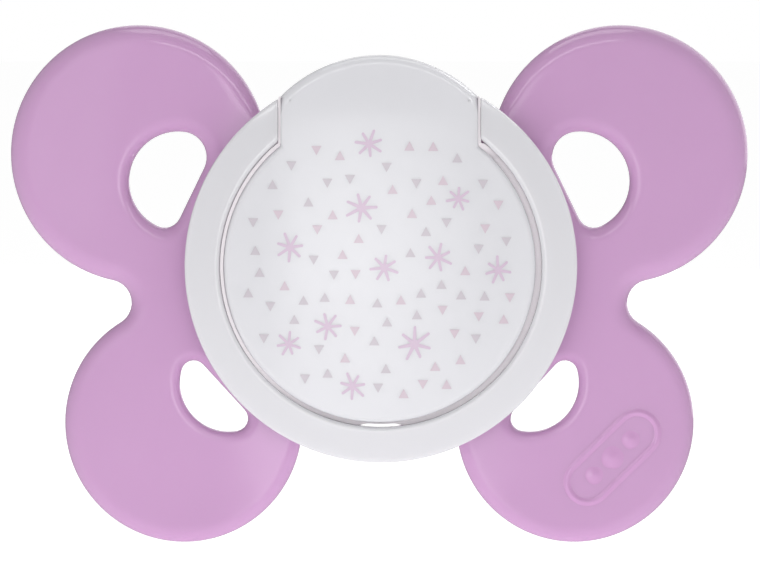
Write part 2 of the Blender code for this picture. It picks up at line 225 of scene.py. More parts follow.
# Colours
LILAC = (0.635, 0.38, 0.625)
# the raised frame's lilac is pinker and brighter than the shield's: a painted highlight for the light
# its ridges catch
RELIEF_HIGHLIGHT_LILAC = (0.66, 0.37, 0.64)
MILKY = (0.775, 0.773, 0.805)
RING_MILKY = (0.75, 0.745, 0.775)
WHITE = (0.86, 0.80, 0.84)
CLEAR_SILICONE = (0.97, 0.96, 0.94)
STAR_INK = (0.70, 0.56, 0.69)
TRIANGLE_INKS = {"grey": (0.64, 0.59, 0.64), "pink": (0.70, 0.59, 0.66)}

# Mesh steps: round the outlines, and between the points of the flat faces
SHIELD_STEP = 0.45
VENT_STEP = 0.35
COVER_STEP = 0.35
RING_STEP = 0.1
STRAIGHT_STRETCH = 1.6
MERGE_SHARE = 0.05
FACE_STEP = 1.3
BASE_FACE_STEP = 3.0
FACE_ROW_SHARE = 0.87
FACE_CLEAR_SHARE = 0.55

# Camera: from a degree above straight on, with a long lens
VIEW_WIDTH = 59.68
VIEW_CENTRE = Vector((0.05, -4.0, -1.75))
VIEW_ELEVATION = math.radians(1.0)
CAMERA_DISTANCE = 1600.0
SENSOR = 36.0

# Front soft box: its distance in metres, and its brightness as (degrees from straight on, share)
SOFTBOX_DISTANCE = 0.95
SOFTBOX_ACROSS = (
    (-17, 0.0),
    (-15.4, 0.3),
    (-11.5, 0.8),
    (-4, 1.0),
    (0, 0.87),
    (7.7, 0.55),
    (11.5, 0.3),
    (15.5, 0.0),
)
SOFTBOX_UPWARD = (
    (-31, 0.1),
    (-25, 0.35),
    (-17, 0.55),
    (-9.5, 0.72),
    (-2, 1.0),
    (6, 0.95),
    (16.4, 0.74),
    (19.3, 0.7),
    (21.3, 0.5),
    (23.2, 0.0),
)
FLOOR_SIZE = 12.0
FLOOR_GAP = 0.0002


# Outlines: chains of circles in the XZ plane


def touching(a, distance_a, b, distance_b, side):
    """The point at these distances from a and b, on the left (1) or right (-1) of the way a to b."""
    a = Vector(a)
    along = Vector(b) - a
    gap = along.length
    along.normalize()
    reach = (distance_a**2 - distance_b**2 + gap**2) / (2 * gap)
    height = math.sqrt(distance_a**2 - reach**2)
    return a + along * reach + Vector((-along.y, along.x)) * height * side


def chain_outline(circles, step):
    """Points and outward normals round a closed outline, counterclockwise.

    circles holds (centre, radius), where a negative radius is a hollow arc. Neighbours either
    touch or are joined by the straight line that is tangent to both.
    """
    joins = []
    for (centre, radius), (following, next_radius) in zip(circles, circles[1:] + circles[:1]):
        along = Vector(following) - Vector(centre)
        cosine = max(-1.0, min(1.0, (radius - next_radius) / along.length))
        along.normalize()
        across = Vector((-along.y, along.x))
        joins.append(along * cosine - across * math.sqrt(1 - cosine**2))
    points = []
    for i, (centre, radius) in enumerate(circles):
        first = math.atan2(joins[i - 1].y, joins[i - 1].x)
        last = math.atan2(joins[i].y, joins[i].x)
        turn = (last - first) % math.tau if radius > 0 else -((first - last) % math.tau)
        count = max(3, math.ceil(abs(turn * radius) / step))
        for k in range(count + 1):
            angle = first + turn * k / count
            normal = Vector((math.cos(angle), math.sin(angle)))
            point = Vector(centre) + normal * radius
            if not points or (point - points[-1][0]).length > step * MERGE_SHARE:
                points.append((point, normal))
    if (points[0][0] - points[-1][0]).length < step * MERGE_SHARE:
        points.pop()
    return points


def fill_straights(outline, step):
    """The same outline with points added along its straight stretches."""
    filled = []
    for (point, normal), (following, _) in zip(outline, outline[1:] + outline[:1]):
        count = max(1, round((following - point).length / step / STRAIGHT_STRETCH))
        filled += [(point.lerp(following, k / count), normal) for k in range(count)]
    return filled


def mirrored(half):
    """A closed chain from its +X half, listed counterclockwise from the bottom to the top."""
    other = [((-c[0], c[1]), r) for c, r in reversed(half) if abs(c[0]) > 1e-6]
    return half + other


def shield_outline(step):
    """Lobes, plate and brow as round arcs, with a notch in the chin and fillets between them."""
    upper_waist = UPPER_LOBE_R + WAIST_R
    lower_waist = LOWER_LOBE_R + WAIST_R
    waist = touching(UPPER_LOBE, upper_waist, LOWER_LOBE, lower_waist, 1)
    brow_fillet = touching(BROW, BROW_R + BROW_FILLET_R, UPPER_LOBE, UPPER_LOBE_R + BROW_FILLET_R, 1)
    plate_reach = CENTRE_PLATE_R + CHEEK_FILLET_R
    cheek_fillet = touching(LOWER_LOBE, LOWER_LOBE_R + CHEEK_FILLET_R, (0, 0), plate_reach, 1)
    chin_reach = CENTRE_PLATE_R - CHIN_CORNER_R
    chin_corner = touching((0, 0), chin_reach, CHIN_NOTCH, CHIN_NOTCH_R + CHIN_CORNER_R, 1)
    half = [
        (CHIN_NOTCH, -CHIN_NOTCH_R),
        (chin_corner, CHIN_CORNER_R),
        ((1e-5, 0), CENTRE_PLATE_R),
        (cheek_fillet, -CHEEK_FILLET_R),
        (LOWER_LOBE, LOWER_LOBE_R),
        (waist, -WAIST_R),
        (UPPER_LOBE, UPPER_LOBE_R),
        (brow_fillet, -BROW_FILLET_R),
        (BROW, BROW_R),
    ]
    return chain_outline(mirrored(half), step)


def vent_outline(vent, side, step):
    """A round hole cut off by a straight side, on the +X side (1) or mirrored (-1)."""
    centre, radius, normal_deg, distance, corners = vent
    centre = Vector(centre)
    normal = Vector((math.cos(math.radians(normal_deg)), math.sin(math.radians(normal_deg))))
    along = Vector((-normal.y, normal.x))
    circles = [(tuple(centre), radius)]
    for corner, way in ((corners[1], 1), (corners[0], -1)):
        depth = distance + corner - centre.dot(normal)
        offset = math.sqrt((radius - corner) ** 2 - depth**2)
        circles.append((tuple(centre + normal * depth + along * offset * way), corner))
    if side < 0:
        circles = [((-c[0], c[1]), r) for c, r in reversed(circles)]
    return fill_straights(chain_outline(circles, step), step)


def cover_outline(step):
    """The disc with its crown."""
    corner_x = CROWN_HALF_WIDTH - CROWN_CORNER_R
    corner_z = CROWN[1] + math.sqrt((CROWN_R - CROWN_CORNER_R) ** 2 - corner_x**2)
    fillet_x = CROWN_HALF_WIDTH + CROWN_FILLET_R
    fillet_z = math.sqrt((DISC_R + CROWN_FILLET_R) ** 2 - fillet_x**2)
    half = [
        ((0, 0), DISC_R),
        ((fillet_x, fillet_z), -CROWN_FILLET_R),
        ((corner_x, corner_z), CROWN_CORNER_R),
        (CROWN, CROWN_R),
    ]
    return fill_straights(chain_outline(mirrored(half), step), step)


# Surfaces


def bow(x, z):
    """How far the shield curves back at a point: flat in the centre, then a gentle bowl."""
    out = max(0.0, math.hypot(x, z * BOW_Z_SHARE) - BOW_FLAT_R)
    return out**2 / (2 * BOW_RADIUS)


def shield_front(x, z):
    return bow(x, z) - SHIELD_THICKNESS


def dome(x, z):
    """The sphere that carries the front faces of the cover, its crown and the ring."""
    return DOME_TOP_Y + DOME_RADIUS - math.sqrt(DOME_RADIUS**2 - x**2 - z**2)


def level(y):
    """A flat surface at one depth."""
    return lambda x, z: y


def ease(value, low, high):
    """Goes smoothly from 0 at low to 1 at high."""
    t = max(0.0, min(1.0, (value - low) / (high - low)))
    return t * t * (3 - 2 * t)


# Meshes


def finish_mesh(name, bm, material, body, slot, *stands_for, sharp=38):
    """Makes a piece from a bmesh in millimetres: faces out, shaded smooth, riding on its body."""
    bmesh.ops.recalc_face_normals(bm, faces=bm.faces)
    bmesh.ops.scale(bm, vec=(MM, MM, MM), verts=bm.verts)
    mesh = bpy.data.meshes.new(name)
    bm.to_mesh(mesh)
    bm.free()
    mesh.shade_smooth()
    mesh.set_sharp_from_angle(angle=math.radians(sharp))
    piece = bpy.data.objects.new(name, mesh)
    bpy.context.scene.collection.objects.link(piece)
    if material:
        mesh.materials.append(material)
    if body:
        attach(piece, body)
    if stands_for:
        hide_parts(*stands_for)
    return piece


def is_inside(point, loops):
    """Whether a point is inside the outer loop and outside the holes, by counting crossings."""
    crossings = 0
    for loop in loops:
        for a, b in zip(loop, loop[1:] + loop[:1]):
            if (a.y > point.y) != (b.y > point.y):
                crossings += point.x < a.x + (point.y - a.y) * (b.x - a.x) / (b.y - a.y)
    return crossings % 2 == 1


def cap_triangles(loops, grid_step):
    """Triangles between closed loops of 2D points, with a grid of points in between."""
    points = [p for loop in loops for p in loop]
    rim = list(points)
    edges = []
    start = 0
    for loop in loops:
        count = len(loop)
        edges += [(start + i, start + (i + 1) % count) for i in range(count)]
        start += count
    low_x, high_x = min(p.x for p in points), max(p.x for p in points)
    low_z, high_z = min(p.y for p in points), max(p.y for p in points)
    row_step = grid_step * FACE_ROW_SHARE
    for k in range(1, math.ceil((high_z - low_z) / row_step)):
        for i in range(math.ceil((high_x - low_x) / grid_step)):
            seed = Vector((low_x + grid_step * (i + 0.5 * (k % 2)), low_z + row_step * k))
            if min((seed - p).length_squared for p in rim) > (grid_step * FACE_CLEAR_SHARE) ** 2:
                if is_inside(seed, loops):
                    points.append(seed)
    made, _, faces, origins, _, _ = geometry.delaunay_2d_cdt(points, edges, [], 1, 1e-6)
    keep = []
    for face in faces:
        middle = sum((made[i] for i in face), Vector((0, 0))) / len(face)
        if is_inside(middle, loops):
            keep.append([origins[i][0] for i in face])
    return points, keep


def rounding_steps(rows):
    """Shares of a quarter round, inward and downward, from its flat end to its upright end."""
    arcs = [math.pi / 2 * k / rows for k in range(rows + 1)]
    return [(1 - math.sin(arc), 1 - math.cos(arc)) for arc in arcs]


def edge_rings(outline, side, front, back, edge_r, rows=7):
    """Rings of points from the front cap, over the rounded edges, to the back cap.

    side is 1 for the outer edge and -1 for a hole. edge_r holds a function of the place for
    the front rounding and one for the back. One more ring inside each rounding keeps the
    shading of the flat face out of it.
    """
    rings = []
    steps = [(1.25, 0.0)] + rounding_steps(rows)
    for surface, sign, rounding in ((front, 1, edge_r[0]), (back, -1, edge_r[1])):
        made = []
        for inset, drop in steps:
            ring = []
            for point, normal in outline:
                radius = rounding(point)
                at = point - normal * inset * radius * side
                ring.append(Vector((at.x, surface(at.x, at.y) + sign * drop * radius, at.y)))
            made.append(ring)
        rings += made if sign > 0 else made[::-1]
    return rings


def vertex_rows(bm, rings):
    return [[bm.verts.new(p) for p in ring] for ring in rings]


def bridge(bm, one, two):
    """A band of faces between two closed rows of vertices."""
    for i in range(len(one)):
        k = (i + 1) % len(one)
        bm.faces.new((one[i], one[k], two[k], two[i]))


def fan(bm, row, tip):
    """Triangles from a closed row of vertices to one in its middle."""
    for i in range(len(row)):
        bm.faces.new((row[i], row[(i + 1) % len(row)], tip))


def slab(edges, front, back, grid_step):
    """A plate between two surfaces, from the rings of its outer edge and its holes."""
    bm = bmesh.new()
    first, last = [], []
    for rings in edges:
        rows = vertex_rows(bm, rings)
        for one, two in zip(rows, rows[1:]):
            bridge(bm, one, two)
        first.append(rows[0])
        last.append(rows[-1])
    for loops, height in ((first, front), (last, back)):
        flats = [[Vector((v.co.x, v.co.z)) for v in loop] for loop in loops]
        points, faces = cap_triangles(flats, grid_step)
        corners = dict(enumerate(v for loop in loops for v in loop))
        for face in faces:
            for i in face:
                if i not in corners:
                    at = points[i]
                    corners[i] = bm.verts.new((at.x, height(at.x, at.y), at.y))
            bm.faces.new([corners[i] for i in face])
    return bm


def same(value):
    """A rounding that is the same all the way round."""
    return lambda point: value


def circle_ring(radius, y, sides):
    angles = [math.tau * k / sides for k in range(sides)]
    return [Vector((radius * math.cos(a), y, radius * math.sin(a))) for a in angles]


def skin(rings):
    """A skin over rings with equal numbers of points, with flat faces at its ends."""
    bm = bmesh.new()
    rows = vertex_rows(bm, rings)
    for one, two in zip(rows, rows[1:]):
        bridge(bm, one, two)
    bm.faces.new(rows[0])
    bm.faces.new(rows[-1])
    return bm


# Materials


def new_material(name, colour, roughness, subsurface=0.0, depth=1.0):
    """A plain plastic that light enters, to a depth in millimetres."""
    made = bpy.data.materials.new(name)
    made.use_nodes = True
    nodes, links = made.node_tree.nodes, made.node_tree.links
    shader = nodes["Principled BSDF"]
    shader.inputs["Base Color"].default_value = (*colour, 1.0)
    shader.inputs["Roughness"].default_value = roughness
    shader.inputs["IOR"].default_value = 1.49
    shader.inputs["Subsurface Weight"].default_value = subsurface
    shader.inputs["Subsurface Radius"].default_value = (1.0, 1.0, 1.0)
    shader.inputs["Subsurface Scale"].default_value = depth * MM
    made.diffuse_color = (*colour, 1.0)
    return made, nodes, links, shader


def noise(nodes, links, scale, detail, place):
    """Noise in object space, with scale in cycles for each metre."""
    texture = nodes.new("ShaderNodeTexNoise")
    texture.inputs["Scale"].default_value = scale
    texture.inputs["Detail"].default_value = detail
    links.new(place.outputs["Object"], texture.inputs["Vector"])
    return texture


def tint(nodes, links, shader, texture, low, high):
    """Lets the base colour wander between two shades."""
    ramp = nodes.new("ShaderNodeValToRGB")
    ramp.color_ramp.elements[0].position = 0.3
    ramp.color_ramp.elements[0].color = (*low, 1.0)
    ramp.color_ramp.elements[1].position = 0.7
    ramp.color_ramp.elements[1].color = (*high, 1.0)
    links.new(texture.outputs["Fac"], ramp.inputs["Fac"])
    links.new(ramp.outputs["Color"], shader.inputs["Base Color"])


def ripple(nodes, links, shader, texture, strength, distance):
    """Makes the surface uneven, to a distance in millimetres."""
    bump = nodes.new("ShaderNodeBump")
    bump.inputs["Strength"].default_value = strength
    bump.inputs["Distance"].default_value = distance * MM
    links.new(texture.outputs["Fac"], bump.inputs["Height"])
    links.new(bump.outputs["Normal"], shader.inputs["Normal"])


def shade(colour, factor):
    return tuple(c * factor for c in colour)


def moulded(name, colour, roughness, spread=0.015, **more):
    """A plastic with a faint unevenness of colour and surface, as moulded parts have."""
    made, nodes, links, shader = new_material(name, colour, roughness, **more)
    place = nodes.new("ShaderNodeTexCoord")
    clouds = noise(nodes, links, 90.0, 2.0, place)
    tint(nodes, links, shader, clouds, shade(colour, 1 - spread), shade(colour, 1 + spread))
    peel = noise(nodes, links, 500.0, 2.0, place)
    ripple(nodes, links, shader, peel, 0.05, 0.02)
    return made


def lilac_plastic(name, colour, subsurface):
    return moulded(name, colour, 0.14, subsurface=subsurface)


def milky_plastic(name, colour):
    return moulded(name, colour, 0.1, spread=0.006, subsurface=0.3)


def white_plastic():
    return moulded("white_plastic", WHITE, 0.35, spread=0.006, subsurface=0.3)


def silicone():
    made, nodes, links, shader = new_material("silicone", CLEAR_SILICONE, 0.22, 0.7, depth=3.0)
    shader.inputs["Transmission Weight"].default_value = 0.45
    shader.inputs["IOR"].default_value = 1.41
    place = nodes.new("ShaderNodeTexCoord")
    ripple(nodes, links, shader, noise(nodes, links, 400.0, 2.0, place), 0.1, 0.03)
    return made


def ink(name, colour):
    return moulded(name, colour, 0.22, spread=0.02)


# Pieces


def neck_hole_rings(sides=96, rows=5):
    """The neck hole: a wide seat for the teat's flange in front, and a rounded rear mouth."""
    rings = [
        circle_ring(FLANGE_SEAT_R, -SHIELD_THICKNESS, sides),
        circle_ring(FLANGE_SEAT_R, FLANGE_SEAT_Y, sides),
        circle_ring(NECK_HOLE_R, FLANGE_SEAT_Y, sides),
    ]
    for inset, drop in rounding_steps(rows):
        radius = NECK_HOLE_R + NECK_EDGE_R * drop
        rings.append(circle_ring(radius, SHIELD_REAR_Y - NECK_EDGE_R * inset, sides))
    return rings


def lobe_rounding(point):
    """The front edge is rounder on the lobes than round the plate, and most so on the upper ones."""
    low, high = LOBE_EDGE_R
    on_lobe = low + (high - low) * ease(point.y, *LOBE_EDGE_Z)
    return SHIELD_EDGE_R + (on_lobe - SHIELD_EDGE_R) * ease(point.length, *LOBE_EDGE_REACH)


def make_shield(material):
    outer = (lobe_rounding, same(SHIELD_EDGE_R))
    loops = [edge_rings(shield_outline(SHIELD_STEP), 1, shield_front, bow, outer)]
    for vent, front_r in zip((UPPER_VENT, LOWER_VENT), VENT_EDGE_R):
        inner = (same(front_r), same(SHIELD_EDGE_R))
        for side in (1, -1):
            outline = vent_outline(vent, side, VENT_STEP)
            loops.append(edge_rings(outline, -1, shield_front, bow, inner))
    loops.append(neck_hole_rings())
    bm = slab(loops, shield_front, bow, FACE_STEP)
    return finish_mesh("shield_moulding", bm, material, "main", "lilac_plastic", "shield")


def cover_rounding(point):
    """The front edge is crisp beside the ring's ends and soft along the top of the crown."""
    beside = ease(point.y, *RIM_CROWN_Z)
    above = ease(point.y, *CROWN_TOP_Z)
    radius = COVER_EDGE_R[0] + (CROWN_SIDE_EDGE_R - COVER_EDGE_R[0]) * beside
    return radius + (CROWN_TOP_EDGE_R - radius) * above


def make_cover(material):
    rear = COVER_HIGH.y
    roundings = (cover_rounding, same(COVER_EDGE_R[1]))
    rings = edge_rings(cover_outline(COVER_STEP), 1, dome, level(rear), roundings)
    bm = slab([rings], dome, level(rear), FACE_STEP)
    return finish_mesh("cover_moulding", bm, material, "main", "milky_plastic", "front_cover")


def make_base(material):
    """The base is a shallow cup: its rim stands round the cover and closes most of the slot."""
    floor_y = COVER_HIGH.y + BASE_FLOOR_DEPTH
    outline = cover_outline(COVER_STEP)
    inner, outer, keeps = [], [], []
    for point, normal in outline:
        inner.append(point - normal * RIM_OVERLAP)
        beside_crown = ease(point.y, *RIM_CROWN_Z)
        proud = RIM_PROUD - (RIM_PROUD - RIM_SIDE_PROUD) * beside_crown
        shift = Vector((RIM_SHIFT_X * (1 - beside_crown), 0))
        thumb_gap = (1 - ease(abs(point.x), *RIM_GAP_X)) * (point.y < 0)
        proud -= (RIM_PROUD - RIM_GAP_PROUD) * thumb_gap
        keep = 1 - ease(normal.y, *RIM_END_FACING) * ease(point.y, *RIM_END_Z)
        outer.append(point + (normal * proud + shift) * keep - normal * BASE_INSET * (1 - keep))
        keeps.append(keep)
    rings = []
    for k in range(6):
        ring = []
        for (point, normal), at_inner, at_outer, keep in zip(outline, inner, outer, keeps):
            deep = ease(point.x - point.y / 2, *RIM_DEPTH_REACH)
            depth = RIM_DEPTH[0] + (RIM_DEPTH[1] - RIM_DEPTH[0]) * deep
            depth += (RIM_CROWN_DEPTH - depth) * ease(point.y, RIM_CROWN_Z[0] - 1, RIM_CROWN_Z[0])
            top = dome(point.x, point.y) + depth
            top += (floor_y - top) * (1 - keep)
            inside = at_inner - normal * (BASE_INSET + RIM_FOLD) * (1 - keep)
            at, y = (
                (inside, floor_y),
                (inside, top),
                (at_outer - normal * RIM_CHAMFER, top),
                (at_outer, top + RIM_CHAMFER),
                (at_outer, BASE_REAR_Y - BASE_EDGE),
                (at_outer - normal * BASE_EDGE, BASE_REAR_Y),
            )[k]
            ring.append(Vector((at.x, y, at.y)))
        rings.append(ring)
    bm = slab([rings], level(floor_y), level(BASE_REAR_Y), BASE_FACE_STEP)
    return finish_mesh("base_moulding", bm, material, "main", "white_plastic", "knob_base")


def make_plug(material, sides=48, rows=5):
    """A flat head that ends where the base does, and a stem with a rounded tip."""
    head_r = PLUG_HIGH.x
    rings = [
        circle_ring(head_r, PLUG_LOW.y, sides),
        circle_ring(head_r, BASE_REAR_Y, sides),
        circle_ring(PLUG_STEM_R, BASE_REAR_Y, sides),
    ]
    for inset, drop in rounding_steps(rows):
        y = PLUG_HIGH.y - PLUG_TIP_R * inset
        rings.append(circle_ring(PLUG_STEM_R - PLUG_TIP_R * drop, y, sides))
    return finish_mesh("plug_moulding", skin(rings), material, "main", "white_plastic", "teat_plug")


def smooth_sections(sections, count):
    """Sections read from a smooth curve through the given ones."""
    made = []
    last = len(sections) - 1
    for k in range(count + 1):
        place = last * k / count
        i = min(int(place), last - 1)
        t = place - i
        p = [Vector(sections[max(0, min(last, i + d))]) for d in (-1, 0, 1, 2)]
        one, two = (p[2] - p[0]) / 2, (p[3] - p[1]) / 2
        made.append(
            p[1] * (2 * t**3 - 3 * t**2 + 1)
            + one * (t**3 - 2 * t**2 + t)
            + p[2] * (3 * t**2 - 2 * t**3)
            + two * (t**3 - t**2)
        )
    return made


def teat_ring(y, half_width, half_height, centre_z, sides):
    """An oval that is plain near the neck and a little squarer from there on."""
    ring = []
    square = min(1.0, max(0.0, (y - TEAT_ROUND_TO_Y) / TEAT_SQUARE_AFTER))
    power = 2 / (2 + (TEAT_SQUARENESS - 2) * square)
    for k in range(sides):
        angle = math.tau * k / sides
        c, s = math.cos(angle), math.sin(angle)
        x = half_width * math.copysign(abs(c) ** power, c)
        z = centre_z + half_height * math.copysign(abs(s) ** power, s)
        ring.append(Vector((x, y, z)))
    return ring


def make_teat(material, sides=72):
    """A closed skin: out from the flange over the bulb to the tip, and back along the inside."""
    tip_y = TEAT_HIGH.y
    flange_front, flange_r = TEAT_LOW.y, TEAT_HIGH.x
    _, neck_width, neck_height, _ = TEAT_SECTIONS[0]
    last_y, last_width, last_height, tip_z = TEAT_SECTIONS[-1]
    sections = smooth_sections(TEAT_SECTIONS, 60)
    neck = neck_width - TEAT_WALL
    rings = [
        teat_ring(flange_front, neck, neck, 0, sides),
        teat_ring(flange_front, flange_r, flange_r, 0, sides),
        teat_ring(FLANGE_REAR_Y, flange_r, flange_r, 0, sides),
        teat_ring(FLANGE_REAR_Y, neck_width, neck_height, 0, sides),
    ]
    rings += [teat_ring(*section, sides) for section in sections]
    for k in range(1, 7):
        arc = math.pi / 2 * k / 7
        share = math.cos(arc)
        y = last_y + (tip_y - last_y) * math.sin(arc)
        rings.append(teat_ring(y, last_width * share, last_height * share, tip_z, sides))
    inner = [
        teat_ring(y, width - TEAT_WALL, height - TEAT_WALL, z, sides)
        for y, width, height, z in sections
        if height > TEAT_LEAST_HOLLOW
    ]
    bm = bmesh.new()
    outside = vertex_rows(bm, rings)
    inside = vertex_rows(bm, inner)
    for rows in (outside, inside):
        for one, two in zip(rows, rows[1:]):
            bridge(bm, one, two)
    bridge(bm, outside[0], inside[0])
    for row, end_y in ((outside[-1], tip_y), (inside[-1], tip_y - TEAT_WALL)):
        fan(bm, row, bm.verts.new((0, end_y, tip_z)))
    return finish_mesh("teat_skin", bm, material, "main", "silicone", "teat", sharp=60)


def ring_section():
    """The ring's section as (radius, y) points and normals, with its front on the dome."""
    low, high = RING_INNER_R + RING_EDGE_R, RING_R - RING_EDGE_R
    rear = RING_REAR_Y - RING_EDGE_R
    corners = [
        ((low, dome(RING_INNER_R, 0) + RING_EDGE_R), RING_EDGE_R),
        ((high, dome(RING_R, 0) + RING_EDGE_R), RING_EDGE_R),
        ((high, rear), RING_EDGE_R),
        ((low, rear), RING_EDGE_R),
    ]
    return fill_straights(chain_outline(corners, RING_STEP), RING_STEP * 4)


def clear_of_disc(x, y, z):
    """Lifts what lies behind the hinge line, so that it swings past the disc at an even gap."""
    across = abs(x - RING_SIDE_PLAY)
    if z <= 0 or y <= HINGE.y or across >= RING_INNER_R:
        return z
    below = HINGE.z - math.sqrt(RING_INNER_R**2 - across**2)
    behind = y - HINGE.y
    return max(z, HINGE.z - math.sqrt(max(0.0, below**2 - behind**2)))


def make_ring(material, count=200, end_rows=4):
    """The ring is cut off beside the crown, and its ends are rounded about the hinge line."""
    section = ring_section()
    rounding = [
        (RING_END_EDGE_R * inset, RING_END_EDGE_R * shift)
        for inset, shift in rounding_steps(end_rows)
    ]
    steps = [(0.0, inset, shift) for inset, shift in rounding]
    steps += [(i / count, 0.0, RING_END_EDGE_R) for i in range(1, count)]
    steps += [(1.0, inset, shift) for inset, shift in reversed(rounding)]
    rings = []
    for share, inset, shift in steps:
        ring = []
        for point, normal in section:
            r, y = point - normal * inset
            right = math.acos((RING_END_X + shift - RING_SIDE_PLAY) / r)
            left = math.acos((RING_END_X + shift + RING_SIDE_PLAY) / r)
            angle = right - (math.pi + right + left) * share
            x, z = RING_SIDE_PLAY + r * math.cos(angle), r * math.sin(angle)
            above = max(0.0, z - HINGE.z)
            limit = math.sqrt(RING_END_R**2 - above**2)
            rear = RING_REAR_Y - RING_END_RELIEF * ease(z, *RING_RELIEF_Z)
            y = HINGE.y + max(-limit, min(limit, rear - HINGE.y, y - HINGE.y))
            ring.append(Vector((x, y, clear_of_disc(x, y, z))))
        rings.append(ring)
    ring = finish_mesh("ring_moulding", skin(rings), material, "ring", "ring_plastic", "ring")
    for side, name in ((1, "right"), (-1, "left")):
        ends = []
        for x in (RING_END_X - PIN_INWARD, RING_END_X + PIN_OUTWARD):
            circle = circle_ring(PIN_R, 0, 40)
            ends.append([Vector((side * x, HINGE.y + p.x, HINGE.z + p.z)) for p in circle])
        pin = finish_mesh(f"{name}_pin_tool", skin(ends), None, None, None)
        pin.hide_render = True
        pin.display_type = "WIRE"
        union = ring.modifiers.new(f"{name}_pin", "BOOLEAN")
        union.operation = "UNION"
        union.object = pin
        union.solver = "EXACT"
    return ring


def thin_prism(bm, outline, surface, thickness):
    """A flat shape laid on a surface, as a thin solid half sunk in it."""
    front = [Vector((x, surface(x, z) - thickness, z)) for x, z in outline]
    back = [Vector((x, surface(x, z) + thickness, z)) for x, z in outline]
    centre = Vector((sum(x for x, _ in outline), sum(z for _, z in outline))) / len(outline)
    rows = vertex_rows(bm, (front, back))
    bridge(bm, *rows)
    for row, side in zip(rows, (-1, 1)):
        fan(bm, row, bm.verts.new((centre.x, surface(*centre) + side * thickness, centre.y)))


def star_outline(x, z, radius, rng, arms=7, half_width=0.1, point_length=0.07, core_share=0.24):
    """Pointed arms of uneven length round a small core."""
    points = []
    turn = rng.uniform(0, 1)
    for k in range(arms):
        angle = turn + math.tau * k / arms
        reach = radius * rng.uniform(0.8, 1.02)
        tip = Vector((math.cos(angle), math.sin(angle)))
        across = Vector((-tip.y, tip.x)) * half_width
        for point in (tip * reach - across, tip * (reach + point_length), tip * reach + across):
            points.append((x + point.x, z + point.y))
        between = angle + math.pi / arms
        core = core_share * radius
        points.append((x + core * math.cos(between), z + core * math.sin(between)))
    return points


def strew_triangles(rng, reach=10.7, gap=1.66, star_gap=0.85, tries=9000):
    """Centres of the small triangles: scattered by a seeded rule, clear of the stars."""
    placed = []
    for _ in range(tries):
        radius, angle = reach * math.sqrt(rng.random()), rng.uniform(0, math.tau)
        at = Vector((radius * math.cos(angle), radius * math.sin(angle)))
        if all((at - Vector((x, z))).length > r + star_gap for x, z, r in STARS):
            if all((at - p).length > gap for p in placed):
                placed.append(at)
    return placed


def make_print():
    rng = random.Random(PRINT_SEED)
    bm = bmesh.new()
    for x, z, radius in STARS:
        thin_prism(bm, star_outline(x, z, radius, rng), dome, PRINT_THICKNESS)
    star_ink = ink("star_ink", STAR_INK)
    finish_mesh("star_print", bm, star_ink, "main", "milky_plastic", sharp=20)
    meshes = {tone: bmesh.new() for tone in TRIANGLE_INKS}
    for at in strew_triangles(rng):
        way = rng.choice((1, -1))
        outline = [
            (at.x - TRIANGLE_HALF_WIDTH, at.y - way * TRIANGLE_HEIGHT / 2),
            (at.x + TRIANGLE_HALF_WIDTH, at.y - way * TRIANGLE_HEIGHT / 2),
            (at.x, at.y + way * TRIANGLE_HEIGHT / 2),
        ]
        tone = "grey" if rng.random() < GREY_SHARE else "pink"
        thin_prism(meshes[tone], outline, dome, PRINT_THICKNESS)
    for tone, bm in meshes.items():
        material = ink(f"{tone}_ink", TRIANGLE_INKS[tone])
        finish_mesh(f"{tone}_triangle_print", bm, material, "main", "milky_plastic", sharp=20)


def ridge(bm, path, surface, rows=8):
    """A low ridge along a closed path, with flanks that run out smoothly into the surface."""
    section = []
    for k in range(rows + 1):
        across = -1 + 2 * k / rows
        section.append((across, math.cos(math.pi / 2 * across) ** 2 * RIDGE_HEIGHT - RIDGE_SINK))
    section += [(1.0, -RIDGE_HEIGHT), (-1.0, -RIDGE_HEIGHT)]
    made = []
    for point, normal in path:
        row = []
        for across, up in section:
            at = point + normal * across * RIDGE_HALF_WIDTH
            row.append(bm.verts.new((at.x, surface(at.x, at.y) - up, at.y)))
        made.append(row)
    for one, two in zip(made, made[1:] + made[:1]):
        bridge(bm, one, two)


def button(bm, x, z, radius, surface, sides=28, rows=7):
    """A low round swelling on a surface, running out smoothly at its edge."""
    rings = [(radius, -RIDGE_HEIGHT)]
    for k in range(rows):
        r = radius * (1 - k / rows)
        rings.append((r, math.cos(math.pi / 2 * r / radius) ** 2 * RIDGE_HEIGHT - RIDGE_SINK))
    made = []
    for r, up in rings:
        row = []
        for i in range(sides):
            angle = math.tau * i / sides
            at = Vector((x + r * math.cos(angle), z + r * math.sin(angle)))
            row.append(bm.verts.new((at.x, surface(at.x, at.y) - up, at.y)))
        made.append(row)
    top = bm.verts.new((x, surface(x, z) - RIDGE_HEIGHT + RIDGE_SINK, z))
    bm.faces.new(made[0])
    for one, two in zip(made, made[1:]):
        bridge(bm, one, two)
    fan(bm, made[-1], top)


def make_relief(material):
    """A plain raised frame with three dots in it."""
    tilt = math.radians(FRAME_TILT_DEG)
    along = Vector((math.cos(tilt), math.sin(tilt)))
    centre = Vector(FRAME_CENTRE)
    end_r = FRAME_WIDTH / 2 - RIDGE_HALF_WIDTH
    reach = FRAME_LENGTH / 2 - RIDGE_HALF_WIDTH - end_r
    ends = [(tuple(centre + along * reach), end_r), (tuple(centre - along * reach), end_r)]
    path = fill_straights(chain_outline(ends, 0.25), 0.25)
    bm = bmesh.new()
    ridge(bm, path, shield_front)
    for offset, radius in FRAME_DOTS:
        at = centre + along * offset
        button(bm, at.x, at.y, radius, shield_front)
    return finish_mesh("lobe_relief", bm, material, "main", "lilac_plastic")


# Light, floor and camera


